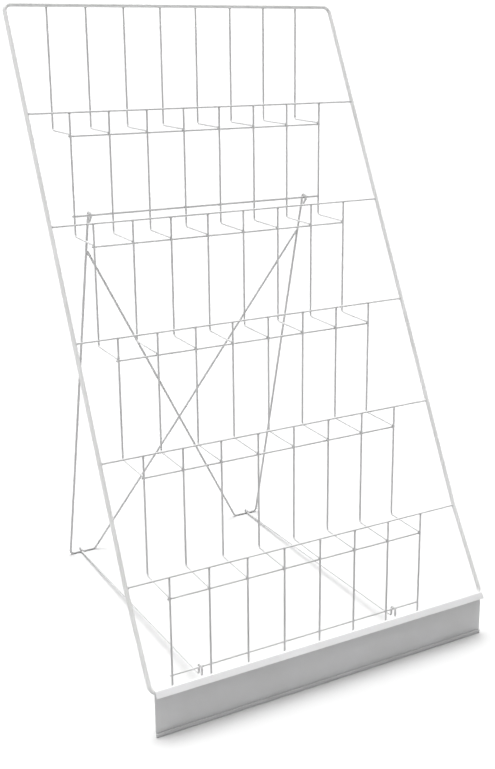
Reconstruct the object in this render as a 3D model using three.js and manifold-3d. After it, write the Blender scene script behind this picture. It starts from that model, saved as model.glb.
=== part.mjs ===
// Six-tier folding wire counter rack: a leaning front panel of welded wire with a sign channel
// along its foot, a two-wire easel hinged behind it and two braces that hold the easel open.
// Millimetres, +Z up, front of the rack towards -Y, X across, origin on the floor under the
// middle of the rack's bounding box.
import * as THREE from 'three';
import * as BufferGeometryUtils from 'three/addons/utils/BufferGeometryUtils.js';
import Module from 'manifold-3d';

const wasm = await Module();
wasm.setup();

// ---- wire gauges and sheet ----
const frameWire = 5.2;
const gridWire = 2.4;
const pivotWire = 3.0;
const easelWire = 3.1;
const braceWire = 2.6;
const sheet = 0.8;

// ---- clearances ----
const weldGap = 0.1;       // between wires of separate nodes that are welded where they meet
const weldDepth = 0.25;    // how far the brace bar is sunk into the base uprights by its welds
const pivotPlay = 0.4;     // between the top of a hook's inner face and the bar that it hangs on
const crossingGap = 0.3;   // between the two diagonals where they cross
const rearHookPlay = 1.05; // between a rear hook's sides and the foot wire
const rearHookLift = 2.05; // between a rear hook's top and the foot wire
const braceLift = 1.52;    // between the floor and the brace where it reaches the foot wire

// ---- front panel ----
const frameWidth = 462.6;  // between the centres of the side wires
const tierCount = 5;       // tiers above the base tier
const tierRise = 126.8;
const tierDepth = 65.35;
const lipHeight = 26.5;    // lip rail's centre above its shelf wires' centre
const firstLipZ = 154.1;   // lowest lip rail, where the side wires change slope
const wiresPerTier = 8;
const wirePitch = 50.8;
const shelfBend = 4.0;     // bend radius where an upright turns into a shelf wire
const topDrop = 0.6;       // top bar's centre below a full tier's rise
const topCorner = 9.0;
const bottomCorner = 10.0;
const kneeBend = 40.0;
const railOverhang = 2.0;  // a shelf rail's end beyond the last upright's centre
const seamReach = 4.5;     // how far the weld's core runs into each end of the hoop's wire
const seamInset = 0.1;     // how much thinner that core is than the wire

// ---- sign channel ----
const channelInset = 2.9;  // from a side wire's centre to the channel's end
const channelSetback = 66.35; // back of the channel's web in front of the base uprights' centres
const channelHeight = 59.1;
const flangeDepth = 3.05;  // flat top, from the web's back to where the lip begins
const lipReach = 4.8;      // how far the sloping lip runs forward
const lipDrop = 6.5;       // how far it falls
const footDepth = 2.35;    // flat foot, from the web's back to its front edge
const footLip = 5.0;       // height of the upright lip along the foot
const barBelowTop = 6.1;   // bottom bar's centre below the channel's top

// ---- easel and braces ----
const pivotDrop = 1.3;     // pivot bar's centre below the second lip rail's
const footSpread = 416.5;  // foot wires' centre behind the base uprights' centres
const legInset = 20.8;     // from the last upright's centre to the easel leg's
const footLength = 38.5;   // from a leg's centre to where its diagonal starts
const diagonalDrop = 55.0; // from the pivot down to where a diagonal meets the opposite leg
const easelBend = 5.0;
const crossingBend = 200.0; // bend radius of a diagonal where it passes the other
const hookBend = 4.7;      // radius of an easel hook's centre line, which is wider than its bar
const hookBack = 0.9;      // hook's centre behind the pivot bar's, square to the leg
const hookSweep = 208;     // degrees that an easel hook turns through
const hookReturn = 7.5;    // straight end of each easel hook
const braceBarZ = 25.5;
const braceInset = 16.7;   // from an easel leg's centre to the brace's
const braceHookBend = 4.4; // radius of a front hook's centre line
const braceFrontZ = 14.0;  // brace's height where it leaves its front hook
const braceTail = 9.0;     // front hook's straight end below the brace bar's centre
const rearTipZ = 0.5;      // rear hook's open end above the floor
const braceBend = 3.0;
const heelBend = 0.3;      // inside radius where a brace turns up into its rear hook
const rearHookBend = 0.6;  // inside radius of the rear hook's two upper corners

// ---- how finely the wires are faceted ----
const wireSides = 8;
const hoopSides = 12;

// ---- places worked out from those sizes ----
const across = new THREE.Vector3(1, 0, 0);
const corner8 = 1 / Math.cos(Math.PI / wireSides); // a wire section's corner over its flat
const halfFrame = frameWidth / 2;
const grid = gridWire / 2;
const lipZ = (tier) => firstLipZ + (tierCount - tier) * tierRise;
const shelfZ = (tier) => lipZ(tier) - lipHeight;
const setY = (set) => (tierCount + 1 - set) * tierDepth;
const wireX = (wire) => (wire - (wiresPerTier + 1) / 2) * wirePitch;
const topZ = lipZ(0) - topDrop;
const topY = setY(1);
const gridEnd = wireX(wiresPerTier) + railOverhang;
const legX = wireX(wiresPerTier) - legInset;
const braceX = legX - braceInset;

const channelLength = frameWidth - 2 * channelInset;
const webBackY = -channelSetback;
const flangeFrontY = webBackY - flangeDepth;
const lipTipY = flangeFrontY - lipReach;
const lipTipZ = channelHeight - lipDrop;
const bottomBarY = webBackY + frameWire / 2 + weldGap;
const bottomBarZ = channelHeight - barBelowTop;

const pivotY = setY(2) + grid + pivotWire / 2 + weldGap;
const pivotZ = lipZ(2) - pivotDrop;
const hookSlack = hookBend - (pivotWire + easelWire) / 2 - pivotPlay;
const hookDrop = Math.sqrt(hookSlack ** 2 - hookBack ** 2);
const legOffset = hookBend + hookBack; // leg's centre line behind the pivot bar's centre
const braceBarY = setY(6) + gridWire - weldDepth;
const footZ = (easelWire / 2) * corner8;
const footY = footSpread;
const rearHookGap = (easelWire + braceWire) / 2 + rearHookPlay;
const rearHookTop = footZ + (easelWire + braceWire) / 2 + rearHookLift;
const braceRearZ = (braceWire / 2) * corner8 + braceLift;
const rearY = footY + rearHookGap + braceWire / 2;

// The lean of an easel leg, whose centre line passes behind its pivot.
const pivotToFoot = Math.hypot(footY - pivotY, pivotZ - footZ);
const legReach = Math.sqrt(pivotToFoot ** 2 - legOffset ** 2);
const legLength = legReach - hookDrop;
const legLean = Math.atan2(footY - pivotY, pivotZ - footZ) - Math.atan2(legOffset, legReach);
const legDown = new THREE.Vector3(0, Math.sin(legLean), -Math.cos(legLean));
const legOut = new THREE.Vector3(0, Math.cos(legLean), Math.sin(legLean));

// ---- finishes ----
const powderCoat = (name) => {
  const coat = new THREE.MeshStandardMaterial({ color: 0xe8e9e8, roughness: 0.45, metalness: 0 });
  coat.name = name;
  return coat;
};

// ---- wire making ----

// A path given by exact stations, so that a straight run costs one step and a bend a few.
class StationPath extends THREE.Curve {
  constructor(stations) {
    super();
    this.stations = stations;
  }

  at(u) {
    return this.stations[Math.round(u * (this.stations.length - 1))];
  }

  getPointAt(u, target = new THREE.Vector3()) {
    return target.copy(this.at(u).point);
  }

  getTangentAt(u, target = new THREE.Vector3()) {
    return target.copy(this.at(u).tangent);
  }

  getPoint(u, target) {
    return this.getPointAt(u, target);
  }
}

// Stations along straight runs between corners, each corner rounded to its own radius.
// A corner is { at, bend, steps }; the first and last are the wire's ends.
function roundedRun(corners) {
  const stations = [];
  const last = corners.length - 1;
  const heading = (i) => corners[i + 1].at.clone().sub(corners[i].at).normalize();
  stations.push({ point: corners[0].at.clone(), tangent: heading(0) });
  for (let i = 1; i < last; i += 1) {
    const before = heading(i - 1);
    const after = heading(i);
    const turn = before.angleTo(after);
    const setback = corners[i].bend * Math.tan(turn / 2);
    const start = corners[i].at.clone().addScaledVector(before, -setback);
    const axis = before.clone().cross(after).normalize();
    const centre = start.clone().addScaledVector(axis.clone().cross(before), corners[i].bend);
    const steps = corners[i].steps ?? 5;
    for (let k = 0; k <= steps; k += 1) {
      const angle = (turn * k) / steps;
      const point = start.clone().sub(centre).applyAxisAngle(axis, angle).add(centre);
      stations.push({ point, tangent: before.clone().applyAxisAngle(axis, angle) });
    }
  }
  stations.push({ point: corners[last].at.clone(), tangent: heading(last - 1) });
  return stations;
}

// Stations round a bar that lies along X, from one angle to another, in degrees from +Y to +Z.
function roundBar(centre, radius, from, to, steps) {
  const way = Math.sign(to - from);
  return Array.from({ length: steps + 1 }, (_, k) => {
    const angle = THREE.MathUtils.degToRad(from + ((to - from) * k) / steps);
    const out = new THREE.Vector3(0, Math.cos(angle), Math.sin(angle));
    const tangent = new THREE.Vector3(0, -Math.sin(angle), Math.cos(angle)).multiplyScalar(way);
    return { point: out.multiplyScalar(radius).add(centre), tangent };
  });
}

// The section of a wire: a polygon whose flats touch the wire's round outline.
function wireSection(diameter, sides) {
  const radius = diameter / 2 / Math.cos(Math.PI / sides);
  const ring = Array.from({ length: sides }, (_, k) => {
    const angle = ((k + 0.5) / sides) * 2 * Math.PI;
    return new THREE.Vector2(radius * Math.cos(angle), radius * Math.sin(angle));
  });
  return new THREE.Shape(ring);
}

function wire(stations, diameter, sides = wireSides) {
  const steps = stations.length - 1;
  const extrudePath = new StationPath(stations);
  const settings = { steps, bevelEnabled: false, extrudePath };
  return new THREE.ExtrudeGeometry(wireSection(diameter, sides), settings);
}

const at = (x, y, z) => new THREE.Vector3(x, y, z);
const straight = (from, to) => roundedRun([{ at: from }, { at: to }]);

// ---- joining solids ----
function toSolid(geometry) {
  const bare = geometry.clone();
  bare.deleteAttribute('normal');
  bare.deleteAttribute('uv');
  const merged = BufferGeometryUtils.mergeVertices(bare, 1e-4);
  return new wasm.Manifold(new wasm.Mesh({
    numProp: 3,
    vertProperties: new Float32Array(merged.attributes.position.array),
    triVerts: new Uint32Array(merged.index.array),
  }));
}

function toGeometry(solid) {
  const mesh = solid.getMesh();
  const geometry = new THREE.BufferGeometry();
  geometry.setAttribute('position', new THREE.BufferAttribute(mesh.vertProperties, 3));
  geometry.setIndex(new THREE.BufferAttribute(mesh.triVerts, 1));
  geometry.computeVertexNormals();
  return geometry;
}

function joined(geometries) {
  const solids = geometries.map(toSolid);
  return toGeometry(solids.reduce((whole, piece) => whole.add(piece)));
}

// ---- front panel's pieces ----

// The outer hoop: bottom bar behind the channel, two side wires with a knee at the lowest lip
// rail, and the top bar. Its ends are butt welded in the middle of the bottom bar.
function frameHoop() {
  const bottom = { bend: bottomCorner, steps: 5 };
  const knee = { bend: kneeBend, steps: 2 };
  const top = { bend: topCorner, steps: 6 };
  const corners = [
    { at: at(0, bottomBarY, bottomBarZ) },
    { at: at(halfFrame, bottomBarY, bottomBarZ), ...bottom },
    { at: at(halfFrame, setY(6), firstLipZ), ...knee },
    { at: at(halfFrame, topY, topZ), ...top },
    { at: at(-halfFrame, topY, topZ), ...top },
    { at: at(-halfFrame, setY(6), firstLipZ), ...knee },
    { at: at(-halfFrame, bottomBarY, bottomBarZ), ...bottom },
    { at: at(-weldGap, bottomBarY, bottomBarZ) },
  ];
  const seamStart = at(-weldGap - seamReach, bottomBarY, bottomBarZ);
  const seamEnd = at(seamReach, bottomBarY, bottomBarZ);
  const core = wire(straight(seamStart, seamEnd), frameWire - seamInset, hoopSides);
  return joined([wire(roundedRun(corners), frameWire, hoopSides), core]);
}

// The folded sheet that holds a sign card: a web, a narrow flat top with a lip that slopes forward
// from it, and a foot turned up along its front edge.
function signChannel() {
  const webFrontY = webBackY - sheet;
  const footFrontY = webBackY - footDepth;
  const underTop = channelHeight - sheet;
  const lipLength = Math.hypot(lipReach, lipDrop);
  // The lip's inner face, a sheet's thickness behind its outer one, from its tip up to the top.
  const innerTipY = lipTipY + (sheet * lipDrop) / lipLength;
  const innerTipZ = lipTipZ - (sheet * lipReach) / lipLength;
  const innerTopY = innerTipY + ((underTop - innerTipZ) * lipReach) / lipDrop;
  const outline = [
    [webBackY, 0],
    [webBackY, channelHeight],
    [flangeFrontY, channelHeight],
    [lipTipY, lipTipZ],
    [innerTipY, innerTipZ],
    [innerTopY, underTop],
    [webFrontY, underTop],
    [webFrontY, sheet],
    [footFrontY + sheet, sheet],
    [footFrontY + sheet, footLip],
    [footFrontY, footLip],
    [footFrontY, 0],
  ];
  const shape = new THREE.Shape(outline.map(([y, z]) => new THREE.Vector2(y, z)));
  const geometry = new THREE.ExtrudeGeometry(shape, { depth: channelLength, bevelEnabled: false });
  // The outline's own axes become Y and Z, and the extrusion runs along X.
  const toWorld = new THREE.Matrix4().makeBasis(at(0, 1, 0), at(0, 0, 1), across);
  geometry.applyMatrix4(toWorld);
  geometry.translate(-channelLength / 2, 0, 0);
  return geometry;
}

// A lip rail fits between the side wires, where a tier's uprights begin.
function lipRail(tier) {
  const end = halfFrame - frameWire / 2 - weldGap;
  const y = setY(tier + 1);
  return wire(straight(at(-end, y, lipZ(tier)), at(end, y, lipZ(tier))), gridWire);
}

// A shelf rail lies behind the next set's uprights, and the shelf wires' ends rest on it.
function shelfRail(tier) {
  const y = setY(tier + 1) + gridWire + weldGap;
  const z = shelfZ(tier) - gridWire - weldGap;
  return wire(straight(at(-gridEnd, y, z), at(gridEnd, y, z)), gridWire);
}

// One L-shaped wire: an upright that drops from the rail above and turns forward as a shelf wire.
function upright(set, number) {
  const x = wireX(number);
  const underside = set === 1 ? topZ - frameWire / 2 : lipZ(set - 1) - grid;
  const top = underside - weldGap;
  const tip = setY(set + 1) + grid + weldGap;
  return wire(roundedRun([
    { at: at(x, setY(set), top) },
    { at: at(x, setY(set), shelfZ(set)), bend: shelfBend, steps: 4 },
    { at: at(x, tip, shelfZ(set)) },
  ]), gridWire);
}

// The base tier's wires, which end on the back of the channel's web, and the brace bar that is
// welded across them.
function baseGrid() {
  const tip = webBackY + weldGap;
  const barStart = at(-gridEnd, braceBarY, braceBarZ);
  const barEnd = at(gridEnd, braceBarY, braceBarZ);
  const pieces = [wire(straight(barStart, barEnd), gridWire)];
  const top = firstLipZ - grid - weldGap;
  for (let number = 1; number <= wiresPerTier; number += 1) {
    const x = wireX(number);
    pieces.push(wire(roundedRun([
      { at: at(x, setY(6), top) },
      { at: at(x, setY(6), grid), bend: shelfBend, steps: 4 },
      { at: at(x, tip, grid) },
    ]), gridWire));
  }
  return joined(pieces);
}

function pivotBar() {
  return wire(straight(at(-gridEnd, pivotY, pivotZ), at(gridEnd, pivotY, pivotZ)), pivotWire);
}

// ---- easel ----

// One easel wire: a hook round the pivot bar, a leg, a foot along the floor, and a diagonal that
// climbs to the opposite leg. The two diagonals pass each other, one behind and one in front.
function easelLeg(side) {
  const x = side * legX;
  const centre = at(x, pivotY, pivotZ);
  centre.addScaledVector(legOut, hookBack).addScaledVector(legDown, hookDrop);
  const lean = THREE.MathUtils.radToDeg(legLean);
  const hook = roundBar(centre, hookBend, lean + hookSweep, lean, 14);
  const tipAngle = THREE.MathUtils.degToRad(lean + hookSweep);
  const tipWay = at(0, -Math.sin(tipAngle), Math.cos(tipAngle));
  const tip = hook[0].point.clone().addScaledVector(tipWay, hookReturn);
  const shoulder = hook[hook.length - 1].point;
  const foot = shoulder.clone().addScaledVector(legDown, legLength);
  const footEnd = foot.clone().setX(x - side * footLength);
  const meeting = shoulder.clone().addScaledVector(legDown, diagonalDrop - hookDrop);
  meeting.setX(side * (easelWire + weldGap) - x);
  const fraction = Math.abs(footEnd.x) / (Math.abs(footEnd.x) + Math.abs(meeting.x));
  const crossing = footEnd.clone().lerp(meeting, fraction);
  crossing.addScaledVector(legOut, (side * (easelWire * corner8 + crossingGap)) / 2);
  const run = roundedRun([
    { at: shoulder },
    { at: foot, bend: easelBend, steps: 5 },
    { at: footEnd, bend: easelBend, steps: 5 },
    { at: crossing, bend: crossingBend, steps: 1 },
    { at: meeting },
  ]);
  const start = { point: tip, tangent: tipWay.clone().negate() };
  return wire([start, ...hook.slice(0, -1), ...run], easelWire);
}

// ---- braces ----

// A brace hooks over the brace bar, runs back just above the floor, and hooks over the foot wire.
function brace(side) {
  const x = side * braceX;
  const drop = braceHookBend - (gridWire + braceWire) / 2 - pivotPlay;
  const centre = at(x, braceBarY, braceBarZ - drop);
  const hook = roundBar(centre, braceHookBend, 180, 0, 10);
  const tail = at(x, braceBarY - braceHookBend, braceBarZ - braceTail);
  const heel = { bend: braceWire / 2 + heelBend, steps: 4 };
  const upper = { bend: braceWire / 2 + rearHookBend, steps: 4 };
  const run = roundedRun([
    { at: hook[hook.length - 1].point },
    { at: at(x, braceBarY + braceHookBend, braceFrontZ), bend: braceBend, steps: 4 },
    { at: at(x, footY - rearHookGap, braceRearZ), ...heel },
    { at: at(x, footY - rearHookGap, rearHookTop), ...upper },
    { at: at(x, footY + rearHookGap, rearHookTop), ...upper },
    { at: at(x, footY + rearHookGap, rearTipZ) },
  ]);
  return wire([{ point: tail, tangent: at(0, 0, 1) }, ...hook.slice(0, -1), ...run], braceWire);
}

// ---- assembly ----
const group = new THREE.Group();
const rack = new THREE.Group();
rack.position.y = -(lipTipY + rearY) / 2;
group.add(rack);

function add(parent, name, geometry) {
  const mesh = new THREE.Mesh(geometry, powderCoat(name));
  mesh.name = name;
  parent.add(mesh);
}

const frontPanel = new THREE.Group();
add(frontPanel, 'frame_hoop', frameHoop());
add(frontPanel, 'sign_channel', signChannel());
for (let tier = 1; tier <= tierCount; tier += 1) {
  add(frontPanel, `lip_rail_${tier}`, lipRail(tier));
  add(frontPanel, `shelf_rail_${tier}`, shelfRail(tier));
  for (let number = 1; number <= wiresPerTier; number += 1) {
    add(frontPanel, `upright_${tier}_${number}`, upright(tier, number));
  }
}
add(frontPanel, 'base_grid', baseGrid());
add(frontPanel, 'easel_pivot_bar', pivotBar());

const easel = new THREE.Group();
add(easel, 'easel_leg_left', easelLeg(-1));
add(easel, 'easel_leg_right', easelLeg(1));

const braces = new THREE.Group();
add(braces, 'brace_left', brace(-1));
add(braces, 'brace_right', brace(1));

rack.add(frontPanel, easel, braces);

export default group;
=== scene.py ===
import math

import bpy
from mathutils import Matrix, Vector


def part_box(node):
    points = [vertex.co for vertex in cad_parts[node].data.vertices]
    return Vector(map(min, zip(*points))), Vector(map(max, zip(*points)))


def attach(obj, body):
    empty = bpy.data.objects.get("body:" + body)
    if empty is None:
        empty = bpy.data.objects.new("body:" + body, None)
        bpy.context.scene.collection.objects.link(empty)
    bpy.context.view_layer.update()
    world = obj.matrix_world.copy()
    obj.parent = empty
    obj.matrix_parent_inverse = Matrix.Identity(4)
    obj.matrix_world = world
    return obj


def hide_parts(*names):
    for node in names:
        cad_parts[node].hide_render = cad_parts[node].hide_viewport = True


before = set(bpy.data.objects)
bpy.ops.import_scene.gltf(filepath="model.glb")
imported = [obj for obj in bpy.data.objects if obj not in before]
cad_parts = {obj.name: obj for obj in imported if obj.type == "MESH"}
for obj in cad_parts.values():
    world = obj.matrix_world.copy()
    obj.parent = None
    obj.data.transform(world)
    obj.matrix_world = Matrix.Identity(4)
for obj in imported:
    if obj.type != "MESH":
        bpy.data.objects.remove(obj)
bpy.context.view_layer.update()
scene = bpy.context.scene
mm = 0.001

# camera: just under the height of the rack's top, off to its left, looking down along the tiers

cameraLook = {
    "place": (-0.6516, -1.276, 0.7695),
    "turn": 30.25,  # degrees from straight on, towards the right
    "down": 15.82,
    "roll": 0.12,
    "lens": 53.54,
    "shift": (-0.0641, -0.0518),
    "reach": 200,  # metres; nothing beyond this is drawn
}


def makeCamera(look):
    camera = bpy.data.objects.new("camera", bpy.data.cameras.new("camera"))
    scene.collection.objects.link(camera)
    turn = Matrix.Rotation(math.radians(-look["turn"]), 4, "Z")
    tip = Matrix.Rotation(math.radians(90 - look["down"]), 4, "X")
    roll = Matrix.Rotation(math.radians(look["roll"]), 4, "Z")
    camera.matrix_world = Matrix.Translation(look["place"]) @ turn @ tip @ roll
    camera.data.lens = look["lens"]
    camera.data.sensor_width = 36
    camera.data.shift_x, camera.data.shift_y = look["shift"]
    camera.data.clip_end = look["reach"]
    scene.camera = camera


makeCamera(cameraLook)
print("camera placed")

# colours and materials


def hexColour(text):
    channels = [int(text[i:i + 2], 16) / 255 for i in (1, 3, 5)]
    linear = [c / 12.92 if c <= 0.04045 else ((c + 0.055) / 1.055) ** 2.4 for c in channels]
    return (*linear, 1)


def addNode(tree, kind, settings={}, links={}):
    # settings go on the node, or on its sockets by name or number; links join outputs to sockets
    node = tree.nodes.new(kind)
    for key, value in settings.items():
        if isinstance(key, int) or key in node.inputs:
            node.inputs[key].default_value = value
        else:
            setattr(node, key, value)
    for key, source in links.items():
        tree.links.new(source, node.inputs[key])
    return node


# Satin polyester powder, sprayed on and baked. It flows out into a soft skin with a faint orange
# peel and a low plastic gloss, and its tone drifts a little with the thickness of the film.
# Peel, drift and grain are the sizes of their cells in mm, depths are in mm too.
powderLooks = {
    "coatedFrame": {
        "light": "#dbdbdb", "dark": "#d3d3d2", "rough": 0.36, "peel": 1.6, "depth": 0.10,
    },
    # painted shade: the wires take a darker copy of the frame's white powder, standing in for the
    # shade that falls on the thin wires
    "coatedWirePaintedShade": {
        "light": "#cecece", "dark": "#c5c5c5", "rough": 0.38, "peel": 1.2, "depth": 0.08,
    },
    "coatedSheet": {
        "light": "#d7d7d8", "dark": "#d2d2d2", "rough": 0.42, "peel": 2.2, "depth": 0.16,
    },
}
powderBase = {
    "index": 1.5,
    "drift": 60,
    "darkEnd": 0.32,  # the part of the drift over which the tone goes from dark to light
    "lightEnd": 0.68,
    "grain": 0.35,
    "grainDepth": 0.02,
    "smoother": 0.04,  # how far the peel takes the roughness down and up
    "rougher": 0.06,
}


def powderCoat(name, look, base):
    material = bpy.data.materials.new(name)
    material.use_nodes = True
    tree = material.node_tree
    tree.nodes.clear()
    place = addNode(tree, "ShaderNodeTexCoord").outputs["Object"]
    # slow drift of the film's thickness
    drift = addNode(
        tree, "ShaderNodeTexNoise",
        {"Scale": 1 / (base["drift"] * mm), "Detail": 3.0}, {"Vector": place},
    )
    # orange peel
    peel = addNode(
        tree, "ShaderNodeTexNoise",
        {"Scale": 1 / (look["peel"] * mm), "Detail": 2.0, "Roughness": 0.45}, {"Vector": place},
    )
    # the finest grain of the baked powder
    grain = addNode(
        tree, "ShaderNodeTexNoise",
        {"Scale": 1 / (base["grain"] * mm), "Detail": 1.0}, {"Vector": place},
    )
    tone = addNode(tree, "ShaderNodeValToRGB", {}, {"Fac": drift.outputs["Fac"]})
    dark, light = tone.color_ramp.elements
    dark.position = base["darkEnd"]
    dark.color = hexColour(look["dark"])
    light.position = base["lightEnd"]
    light.color = hexColour(look["light"])
    gloss = addNode(
        tree, "ShaderNodeMapRange",
        {"To Min": look["rough"] - base["smoother"], "To Max": look["rough"] + base["rougher"]},
        {"Value": peel.outputs["Fac"]},
    )
    broad = addNode(
        tree, "ShaderNodeBump",
        {"Strength": 0.5, "Distance": look["depth"] * mm}, {"Height": peel.outputs["Fac"]},
    )
    fine = addNode(
        tree, "ShaderNodeBump", {"Strength": 0.25, "Distance": base["grainDepth"] * mm},
        {"Height": grain.outputs["Fac"], "Normal": broad.outputs["Normal"]},
    )
    shader = addNode(
        tree, "ShaderNodeBsdfPrincipled", {"IOR": base["index"], "Metallic": 0.0},
        {"Base Color": tone.outputs["Color"], "Roughness": gloss.outputs["Result"],
         "Normal": fine.outputs["Normal"]},
    )
    addNode(tree, "ShaderNodeOutputMaterial", {}, {"Surface": shader.outputs["BSDF"]})
    return material


powders = {name: powderCoat(name, look, powderBase) for name, look in powderLooks.items()}
print("materials made")

# wire work: every wire is a tube swept along its own bent centre line

wireLook = {
    "sides": 14,
    "stepAngle": 9,  # degrees of bend to each ring of the tube
    "crease": 50,  # degrees; a sharper edge than this stays crisp
    "shelfBend": 4.0 * mm,
    "weldGap": 0.1 * mm,  # the frame leaves this between wires that are welded
    "touch": 0.12 * mm,  # wires that are welded run this far on, into the wire that they meet
    "weldReach": 1.5 * mm,  # how far a weld spreads along the wire that it holds
    "weldSwell": 1.32,
    "weldMarks": ((0.0, 1.0), (0.35, 0.45), (0.7, 0.1), (1.0, 0.0)),  # shares of reach and swelling
    "domeReach": 0.55,  # as a share of the wire's radius
    "domeMarks": ((0.0, 0.72), (0.35, 0.92), (1.0, 1.0)),  # shares of reach and radius
    "beadLength": 3.2 * mm,
    "beadSides": 10,
    "beadRings": 7,
}


def bent(corners):
    # corners are (point, bend radius of the centre line); the two ends take radius 0
    points = [Vector(corners[0][0])]
    for (before, _), (at, radius), (after, _) in zip(corners, corners[1:], corners[2:]):
        at = Vector(at)
        into = (at - Vector(before)).normalized()
        away = (Vector(after) - at).normalized()
        angle = into.angle(away)
        start = at - into * radius * math.tan(angle / 2)
        axis = into.cross(away).normalized()
        centre = start + axis.cross(into) * radius
        steps = max(2, round(math.degrees(angle) / wireLook["stepAngle"]))
        for k in range(steps + 1):
            turn = Matrix.Rotation(angle * k / steps, 3, axis)
            points.append(centre + turn @ (start - centre))
    points.append(Vector(corners[-1][0]))
    return points


def roundBar(centre, radius, start, end, steps):
    # points round a bar that lies along X, angles in degrees from +Y towards +Z
    angles = [math.radians(start + (end - start) * k / steps) for k in range(steps + 1)]
    return [Vector(centre) + radius * Vector((0, math.cos(a), math.sin(a))) for a in angles]


def shapedEnds(points, radius, reach, marks):
    # the run's points with radii; marks are (share of reach, share of radius) from either end
    first = (points[1] - points[0]).normalized()
    last = (points[-2] - points[-1]).normalized()
    head = [(points[0] + first * reach * t, radius * r) for t, r in marks]
    tail = [(points[-1] + last * reach * t, radius * r) for t, r in reversed(marks)]
    return head + [(p, radius) for p in points[1:-1]] + tail


def domed(points, radius):
    # both ends drawn in to a low dome, as sheared wire has
    return shapedEnds(points, radius, radius * wireLook["domeReach"], wireLook["domeMarks"])


def welded(points, radius, reach, swell):
    # both ends spread into the welds that hold them
    marks = [(t, 1 + (swell - 1) * share) for t, share in wireLook["weldMarks"]]
    return shapedEnds(points, radius, reach, marks)


class Shape:
    # gathers closed skins, then becomes one smooth mesh piece
    def __init__(self):
        self.points = []
        self.faces = []

    def tube(self, run, sides=wireLook["sides"], closed=False):
        # run is a list of (point, radius); the section is carried along without twist
        count = len(run)
        centres = [p for p, _ in run]
        headings = []
        for i in range(count):
            if closed:
                way = centres[(i + 1) % count] - centres[i - 1]
            else:
                way = centres[min(i + 1, count - 1)] - centres[max(i - 1, 0)]
            headings.append(way.normalized())
        side = headings[0].orthogonal().normalized()
        base = len(self.points)
        for i, (centre, radius) in enumerate(run):
            if i:
                side = headings[i - 1].rotation_difference(headings[i]) @ side
            side = (side - headings[i] * side.dot(headings[i])).normalized()
            other = headings[i].cross(side)
            for k in range(sides):
                a = 2 * math.pi * k / sides
                self.points.append(centre + radius * (math.cos(a) * side + math.sin(a) * other))
        for i in range(count if closed else count - 1):
            here = base + i * sides
            there = base + ((i + 1) % count) * sides
            shift = self.match(here, there, sides) if closed and i == count - 1 else 0
            for k in range(sides):
                n = (k + 1) % sides
                ahead = (there + (n + shift) % sides, there + (k + shift) % sides)
                self.faces.append((here + k, here + n, *ahead))
        if not closed:
            self.faces.append(tuple(reversed(range(base, base + sides))))
            last = base + (count - 1) * sides
            self.faces.append(tuple(range(last, last + sides)))

    def match(self, here, there, sides):
        # how far the last ring is turned against the first
        gaps = [(self.points[here] - self.points[there + k]).length for k in range(sides)]
        return gaps.index(min(gaps))

    def bead(self, at, along, length, radius):
        # a weld nugget: an oblong swelling, round ended, lying along a wire
        way = Vector(along).normalized()
        rings = wireLook["beadRings"]
        run = []
        for k in range(rings):
            t = -1 + 2 * (k + 0.5) / rings
            run.append((Vector(at) + way * length / 2 * t, radius * math.sqrt(1 - t * t)))
        self.tube(run, wireLook["beadSides"])

    def prism(self, outline, low, high, chamfer):
        # an outline in Y and Z carried along X, chamfered at both ends
        base = len(self.points)
        count = len(outline)
        rings = ((low, chamfer), (low + chamfer, 0), (high - chamfer, 0), (high, chamfer))
        for x, inset in rings:
            for i, p in enumerate(outline):
                way = (outline[(i + 1) % count] - outline[i - 1]).normalized()
                inward = Vector((-way.y, way.x)) * inset
                self.points.append(Vector((x, p.x + inward.x, p.y + inward.y)))
        last = base + (len(rings) - 1) * count
        for here in range(base, last, count):
            for k in range(count):
                n = (k + 1) % count
                self.faces.append((here + k, here + n, here + count + n, here + count + k))
        self.faces.append(tuple(range(base + count - 1, base - 1, -1)))
        self.faces.append(tuple(range(last, last + count)))

    def piece(self, name, body, material, stands):
        mesh = bpy.data.meshes.new(name)
        mesh.from_pydata([tuple(p) for p in self.points], [], self.faces)
        mesh.validate()
        mesh.materials.append(material)
        mesh.shade_smooth()
        mesh.set_sharp_from_angle(angle=math.radians(wireLook["crease"]))
        thing = bpy.data.objects.new(name, mesh)
        scene.collection.objects.link(thing)
        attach(thing, body)
        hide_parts(*stands)

    def wirePiece(self, name, body, node):
        # the wires wear the darker coat, whose colour holds painted shade
        self.piece(name, body, powders["coatedWirePaintedShade"], [node])


# sizes that the wires share, worked out from the frame


def middle(node):
    low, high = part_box(node)
    return (low + high) / 2


def halfHeight(node):
    low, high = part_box(node)
    return (high.z - low.z) / 2


def uprightX(number):
    return middle(f"upright_1_{number}").x


tierCount = 5
wiresPerTier = 8
tiers = range(1, tierCount + 1)
wires = range(1, wiresPerTier + 1)
gridRadius = halfHeight("lip_rail_1")
pivotRadius = halfHeight("easel_pivot_bar")
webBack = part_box("sign_channel")[1].y
sectionCorner = 1 / math.cos(math.pi / 8)  # the frame's wires have eight-sided sections

# tiers: each has eight L-shaped wires between a lip rail in front and a shelf rail behind


def makeUpright(tier, number):
    node = f"upright_{tier}_{number}"
    low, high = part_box(node)
    x = (low.x + high.x) / 2
    y = high.y - gridRadius
    z = low.z + gridRadius
    top = Vector((x, y, high.z + wireLook["touch"]))
    heel = Vector((x, y, z))
    tip = Vector((x, low.y - wireLook["touch"], z))
    run = bent([(top, 0), (heel, wireLook["shelfBend"]), (tip, 0)])
    shape = Shape()
    shape.tube(welded(run, gridRadius, wireLook["weldReach"], wireLook["weldSwell"]))
    shape.wirePiece(f"shelf_wire_{tier}_{number}", "front_panel", node)


lipRailLook = {
    "weldReach": 2.1 * mm,
    "weldSwell": 1.45,
    "beadRadius": 1.075 * mm,
    "beadDown": 0.55,  # how far below the rail's middle its nuggets sit, in wire radii
}


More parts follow.
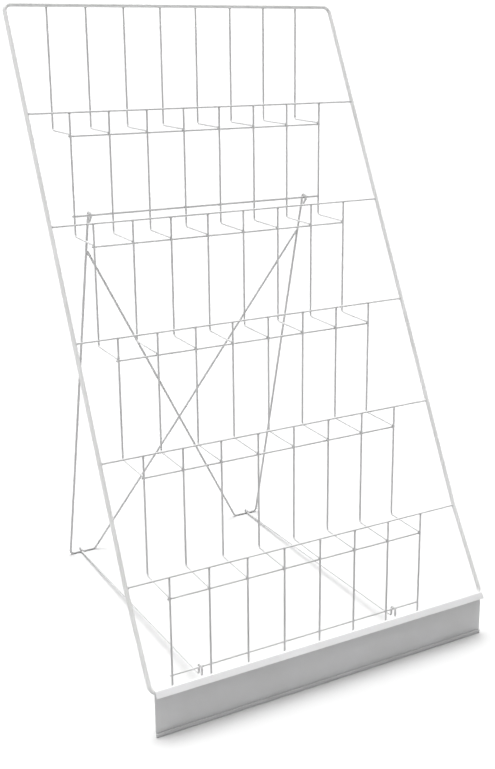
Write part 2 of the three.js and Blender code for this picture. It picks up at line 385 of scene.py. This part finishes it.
def makeLipRail(tier, look):
    node = f"lip_rail_{tier}"
    low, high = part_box(node)
    y, z = middle(node).y, middle(node).z
    start = Vector((low.x - wireLook["touch"], y, z))
    end = Vector((high.x + wireLook["touch"], y, z))
    shape = Shape()
    shape.tube(welded([start, end], gridRadius, look["weldReach"], look["weldSwell"]))
    for number in wires:
        # the upright below is pressed into the rail from underneath
        at = (uprightX(number), y, z - gridRadius * look["beadDown"])
        shape.bead(at, (1, 0, 0), wireLook["beadLength"], look["beadRadius"])
    shape.wirePiece(f"rail_front_{tier}", "front_panel", node)


shelfRailLook = {"bead": 0.8}  # its nuggets' radius, in wire radii


def makeShelfRail(tier, look):
    node = f"shelf_rail_{tier}"
    low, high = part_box(node)
    y, z = middle(node).y, middle(node).z
    bead = gridRadius * look["bead"]
    shape = Shape()
    shape.tube(domed([Vector((low.x, y, z)), Vector((high.x, y, z))], gridRadius))
    for number in wires:
        x = uprightX(number)
        # one nugget under the shelf wire, one against the next upright
        shape.bead((x, y, z + gridRadius), (0, 1, 0), wireLook["beadLength"], bead)
        shape.bead((x, y - gridRadius, z), (0, 0, 1), wireLook["beadLength"], bead)
    shape.wirePiece(f"rail_shelf_{tier}", "front_panel", node)


for tier in tiers:
    makeLipRail(tier, lipRailLook)
    makeShelfRail(tier, shelfRailLook)
    for number in wires:
        makeUpright(tier, number)
print("tiers made")

# outer hoop, one bent wire welded in the middle of its bottom bar

hoopLook = {
    "radius": 2.6 * mm, "topBend": 9 * mm, "bottomBend": 10 * mm, "kneeBend": 40 * mm,
    "sides": 20,
    "seamGap": 0.3 * mm,  # from the middle of the butt weld to each end of the wire
    # the weld's upset ring: mm along the bar, and wire radii
    "seam": ((-1.6, 0.99), (-0.8, 1.05), (0, 1.1), (0.8, 1.05), (1.6, 0.99)),
    "beadLength": 4.2 * mm, "beadRadius": 1.15 * mm,
    "beadOut": 0.93,  # how far from the hoop's middle its nuggets sit, in wire radii
    "beadSlope": (0, 0.46, 0.89),  # along the leaning side wires
}


def makeHoop(look):
    low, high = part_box("frame_hoop")
    radius = look["radius"]
    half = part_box("lip_rail_1")[1].x + wireLook["weldGap"] + radius
    topZ = high.z - radius
    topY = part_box("upright_1_1")[1].y - gridRadius
    knee = middle("lip_rail_5")
    barY = webBack + radius + wireLook["weldGap"]
    barZ = low.z + radius
    gap = look["seamGap"]
    run = bent([
        (Vector((gap, barY, barZ)), 0),
        (Vector((half, barY, barZ)), look["bottomBend"]),
        (Vector((half, knee.y, knee.z)), look["kneeBend"]),
        (Vector((half, topY, topZ)), look["topBend"]),
        (Vector((-half, topY, topZ)), look["topBend"]),
        (Vector((-half, knee.y, knee.z)), look["kneeBend"]),
        (Vector((-half, barY, barZ)), look["bottomBend"]),
        (Vector((-gap, barY, barZ)), 0),
    ])
    shape = Shape()
    shape.tube([(p, radius) for p in run], look["sides"], closed=True)
    seam = Vector((0, barY, barZ))
    ring = [(seam + Vector((x * mm, 0, 0)), radius * r) for x, r in look["seam"]]
    shape.tube(ring, look["sides"])
    # nuggets where the rails and the top wires meet it
    out = radius * look["beadOut"]
    for tier in tiers:
        rail = middle(f"lip_rail_{tier}")
        for side in (-1, 1):
            at = (side * (half - out), rail.y, rail.z)
            shape.bead(at, look["beadSlope"], look["beadLength"], look["beadRadius"])
    for number in wires:
        at = (uprightX(number), topY, topZ - out)
        shape.bead(at, (1, 0, 0), look["beadLength"], look["beadRadius"])
    frameCoat = powders["coatedFrame"]
    shape.piece("outer_hoop", "front_panel", frameCoat, ["frame_hoop"])


makeHoop(hoopLook)
print("hoop made")

# sign channel: thin sheet bent on a press brake, so every fold has a small radius

channelLook = {
    "sheet": 0.8 * mm, "lipReach": 4.8 * mm, "lipDrop": 6.5 * mm,
    "foot": 2.35 * mm, "footLip": 5.0 * mm,
    "fold": 1.0 * mm, "footFold": 0.7 * mm, "chamfer": 0.12 * mm,
}


def offsetLine(points, distance):
    # a polyline moved sideways by distance, mitred at its corners
    moved = []
    for i, p in enumerate(points):
        before = (p - points[i - 1]).normalized() if i else None
        after = (points[i + 1] - p).normalized() if i < len(points) - 1 else None
        into = before or after
        away = after or before
        mean = (into + away).normalized()
        normal = Vector((-mean.y, mean.x))
        moved.append(p + normal * distance / max(0.2, mean.dot(into)))  # no mitre over 5 times
    return moved


def makeChannel(look):
    low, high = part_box("sign_channel")
    half = look["sheet"] / 2
    back = high.y - half
    top = high.z - half
    foot = high.y - look["foot"] + half
    floorZ = low.z + half
    # the sheet's middle line, from the sloping lip's tip to the foot lip's edge
    slope = Vector((-look["lipReach"], -look["lipDrop"])).normalized()
    inward = Vector((-slope.y, slope.x)) * half
    lipTip = Vector((low.y, high.z - look["lipDrop"])) + inward
    lipTop = lipTip.x + (lipTip.y - top) * slope.x / -slope.y
    run = bent([
        (Vector((0, lipTip.x, lipTip.y)), 0),
        (Vector((0, lipTop, top)), look["fold"]),
        (Vector((0, back, top)), look["fold"]),
        (Vector((0, back, floorZ)), look["footFold"]),
        (Vector((0, foot, floorZ)), look["footFold"]),
        (Vector((0, foot, low.z + look["footLip"])), 0),
    ])
    line = [Vector((p.y, p.z)) for p in run]
    outer = offsetLine(line, -half)
    inner = offsetLine(line, half)
    shape = Shape()
    shape.prism(outer + inner[::-1], low.x, high.x, look["chamfer"])
    sheetCoat = powders["coatedSheet"]
    shape.piece("sign_holder", "front_panel", sheetCoat, ["sign_channel"])


makeChannel(channelLook)
print("channel made")

# base tier: eight wires down to the floor, and the brace bar across them

baseLook = {
    "barHeight": 25.5 * mm,
    "sunk": 0.25 * mm,  # how deep the bar is welded into the uprights
    "weldSwell": 1.2,
    "beadLength": 3.4 * mm,
    "bead": 0.9,  # its nuggets' radius, in wire radii
}


def makeBase(look):
    low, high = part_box("base_grid")
    uprightY = high.y - (2 * gridRadius - look["sunk"]) - gridRadius
    floorZ = low.z + gridRadius
    barY = high.y - gridRadius
    barZ = look["barHeight"]
    bead = gridRadius * look["bead"]
    shape = Shape()
    shape.tube(domed([Vector((low.x, barY, barZ)), Vector((high.x, barY, barZ))], gridRadius))
    for number in wires:
        x = uprightX(number)
        top = Vector((x, uprightY, high.z + wireLook["touch"]))
        tip = Vector((x, low.y - wireLook["touch"], floorZ))
        run = bent([(top, 0), (Vector((x, uprightY, floorZ)), wireLook["shelfBend"]), (tip, 0)])
        shape.tube(welded(run, gridRadius, wireLook["weldReach"], look["weldSwell"]))
        shape.bead((x, (uprightY + barY) / 2, barZ), (1, 0, 0), look["beadLength"], bead)
    shape.wirePiece("base_wires", "front_panel", "base_grid")


pivotLook = {"sides": 16, "beadLength": 3.4 * mm, "bead": 0.85}


def makePivotBar(look):
    low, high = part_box("easel_pivot_bar")
    at = middle("easel_pivot_bar")
    run = [Vector((low.x, at.y, at.z)), Vector((high.x, at.y, at.z))]
    bead = gridRadius * look["bead"]
    shape = Shape()
    shape.tube(domed(run, pivotRadius), look["sides"])
    for number in wires:
        place = (uprightX(number), at.y - pivotRadius, at.z)
        shape.bead(place, (0, 0, 1), look["beadLength"], bead)
    shape.wirePiece("pivot_bar", "front_panel", "easel_pivot_bar")


makeBase(baseLook)
makePivotBar(pivotLook)
print("base made")

# easel: two long wires, each hooked over the pivot bar, bent along the floor and back up

easelLook = {
    "radius": 1.55 * mm, "sides": 18, "bend": 5 * mm,
    "foot": 38.5 * mm,  # how far the wire runs along the floor
    "drop": 55 * mm,  # from the pivot bar down to the weld on the other leg
    "crossGap": 0.3 * mm, "crossBend": 200 * mm,  # where the two diagonals pass each other
    "meetingGap": 1.7,  # a diagonal's end from the other leg's middle, in wire radii
    "hook": 4.7 * mm, "hookSteps": 26, "hookBack": 0.9 * mm, "play": 0.4 * mm,
    "sweep": 208,  # degrees of the hook's bend
    "return": 7.5 * mm,
    "beadDown": 0.6 * mm, "beadLength": 6.5 * mm,
    "bead": 0.95,
}


def makeEasel(side, node, name, look):
    low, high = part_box(node)
    radius = look["radius"]
    pivot = middle("easel_pivot_bar")
    # the hook's centre lies below and behind the bar's, by as much as its slack allows
    slack = look["hook"] - pivotRadius - radius - look["play"]
    sink = math.sqrt(slack ** 2 - look["hookBack"] ** 2)
    offset = look["hook"] + look["hookBack"]
    x = low.x + radius if side < 0 else high.x - radius
    footY = high.y - radius * sectionCorner
    footZ = radius * sectionCorner
    reach = math.hypot(footY - pivot.y, pivot.z - footZ)
    legLength = math.sqrt(reach ** 2 - offset ** 2)
    lean = math.atan2(footY - pivot.y, pivot.z - footZ) - math.atan2(offset, legLength)
    down = Vector((0, math.sin(lean), -math.cos(lean)))
    out = Vector((0, math.cos(lean), math.sin(lean)))
    centre = Vector((x, pivot.y, pivot.z)) + out * look["hookBack"] + down * sink
    leanDegrees = math.degrees(lean)
    hookStart = leanDegrees + look["sweep"]
    hook = roundBar(centre, look["hook"], hookStart, leanDegrees, look["hookSteps"])
    tipAngle = math.radians(hookStart)
    tip = hook[0] + Vector((0, -math.sin(tipAngle), math.cos(tipAngle))) * look["return"]
    shoulder = hook[-1]
    foot = shoulder + down * (legLength - sink)
    footEnd = Vector((x - side * look["foot"], foot.y, foot.z))
    meeting = shoulder + down * (look["drop"] - sink)
    meeting.x = -x + side * look["meetingGap"] * radius
    # one diagonal passes behind the other where they cross
    share = abs(footEnd.x) / (abs(footEnd.x) + abs(meeting.x))
    crossing = footEnd.lerp(meeting, share)
    crossing += out * side * (2 * radius * sectionCorner + look["crossGap"]) / 2
    run = bent([
        (shoulder, 0), (foot, look["bend"]), (footEnd, look["bend"]),
        (crossing, look["crossBend"]), (meeting, 0),
    ])
    shape = Shape()
    shape.tube(domed([tip] + hook[:-1] + run, radius), look["sides"])
    # the weld that ties this wire's diagonal to the other leg
    place = meeting + Vector((0, 0, -look["beadDown"]))
    shape.bead(place, down, look["beadLength"], radius * look["bead"])
    shape.wirePiece(name, "easel", node)


makeEasel(-1, "easel_leg_left", "easel_wire_left", easelLook)
makeEasel(1, "easel_leg_right", "easel_wire_right", easelLook)
print("easel made")

# braces: a hook over the brace bar, a long run just above the floor, a hook over the foot wire

braceLook = {
    "radius": 1.3 * mm, "sides": 16, "bend": 3 * mm,
    "hook": 4.4 * mm, "hookSteps": 24, "play": 0.4 * mm, "tail": 9 * mm, "frontHeight": 14 * mm,
    "lift": 1.52 * mm,  # how far the run is off the floor at the rear
    "hookPlay": 1.05 * mm, "hookLift": 2.05 * mm, "tip": 0.5 * mm,
    "heelInside": 0.3 * mm, "hookInside": 0.6 * mm,  # bend radii at the inside of the wire
}


def makeBrace(node, name, look):
    low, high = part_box(node)
    radius = look["radius"]
    x = (low.x + high.x) / 2
    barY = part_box("base_grid")[1].y - gridRadius
    barZ = baseLook["barHeight"]
    ring = look["hook"]
    sink = ring - gridRadius - radius - look["play"]
    footRadius = easelLook["radius"]
    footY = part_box("easel_leg_left")[1].y - footRadius * sectionCorner
    footZ = footRadius * sectionCorner
    gap = footRadius + radius + look["hookPlay"]
    hookTop = footZ + footRadius + radius + look["hookLift"]
    rearZ = radius * sectionCorner + look["lift"]
    heel = radius + look["heelInside"]
    upper = radius + look["hookInside"]
    hook = roundBar((x, barY, barZ - sink), ring, 180, 0, look["hookSteps"])
    tail = Vector((x, barY - ring, barZ - look["tail"]))
    run = bent([
        (hook[-1], 0),
        (Vector((x, barY + ring, look["frontHeight"])), look["bend"]),
        (Vector((x, footY - gap, rearZ)), heel),
        (Vector((x, footY - gap, hookTop)), upper),
        (Vector((x, footY + gap, hookTop)), upper),
        (Vector((x, footY + gap, look["tip"])), 0),
    ])
    shape = Shape()
    shape.tube(domed([tail] + hook[:-1] + run, radius), look["sides"])
    shape.wirePiece(name, node, node)


makeBrace("brace_left", "brace_wire_left", braceLook)
makeBrace("brace_right", "brace_wire_right", braceLook)
print("braces made")

# studio: a pale floor that runs out to the horizon, under a sky that is bright overhead and
# behind the rack and dim in front of it, as under one wide soft box

studioLook = {
    "floorSize": 300,
    "floor": "#cdcdcd",
    "sky": "#ffffff",
    "skyBehind": 1.2,
    "skyInFront": 0.24,
    "turnover": 0.5,  # how far to the front and the back the change between the two reaches
    "overhead": 6.8,
    "overheadSpread": 10,  # higher draws the light in towards the zenith
    "overheadStart": 0.5,  # sine of the height above which the sky starts to brighten
    "gamma": 0.8,  # under 1 deepens the shaded sides and leaves white as it is
}


def makeFloor(look):
    size = look["floorSize"]
    mesh = bpy.data.meshes.new("floor")
    corners = [(-size, -size, 0), (size, -size, 0), (size, size, 0), (-size, size, 0)]
    mesh.from_pydata(corners, [], [(0, 1, 2, 3)])
    material = bpy.data.materials.new("paintedFloor")
    material.use_nodes = True
    tree = material.node_tree
    tree.nodes.clear()
    shader = addNode(tree, "ShaderNodeBsdfDiffuse", {"Color": hexColour(look["floor"])})
    addNode(tree, "ShaderNodeOutputMaterial", {}, {"Surface": shader.outputs["BSDF"]})
    mesh.materials.append(material)
    floor = bpy.data.objects.new("floor", mesh)
    scene.collection.objects.link(floor)


def makeSky(look):
    scene.world = bpy.data.worlds.new("studio")
    scene.world.use_nodes = True
    tree = scene.world.node_tree
    tree.nodes.clear()
    way = addNode(tree, "ShaderNodeTexCoord").outputs["Generated"]
    parts = addNode(tree, "ShaderNodeSeparateXYZ", {}, {"Vector": way})
    around = addNode(
        tree, "ShaderNodeMapRange",
        {"interpolation_type": "SMOOTHSTEP", "From Min": -look["turnover"],
         "From Max": look["turnover"], "To Min": look["skyInFront"],
         "To Max": look["skyBehind"]},
        {"Value": parts.outputs["Y"]},
    )
    height = addNode(
        tree, "ShaderNodeMath", {"operation": "MAXIMUM", 1: look["overheadStart"]},
        {0: parts.outputs["Z"]},
    )
    peak = addNode(
        tree, "ShaderNodeMath", {"operation": "POWER", 1: look["overheadSpread"]},
        {0: height.outputs[0]},
    )
    total = addNode(
        tree, "ShaderNodeMath", {"operation": "MULTIPLY_ADD", 1: look["overhead"]},
        {0: peak.outputs[0], 2: around.outputs["Result"]},
    )
    sky = addNode(
        tree, "ShaderNodeBackground", {"Color": hexColour(look["sky"])},
        {"Strength": total.outputs[0]},
    )
    addNode(tree, "ShaderNodeOutputWorld", {}, {"Surface": sky.outputs["Background"]})


makeFloor(studioLook)
makeSky(studioLook)
scene.view_settings.view_transform = "Standard"
scene.view_settings.look = "None"
scene.view_settings.gamma = studioLook["gamma"]
print("studio made")
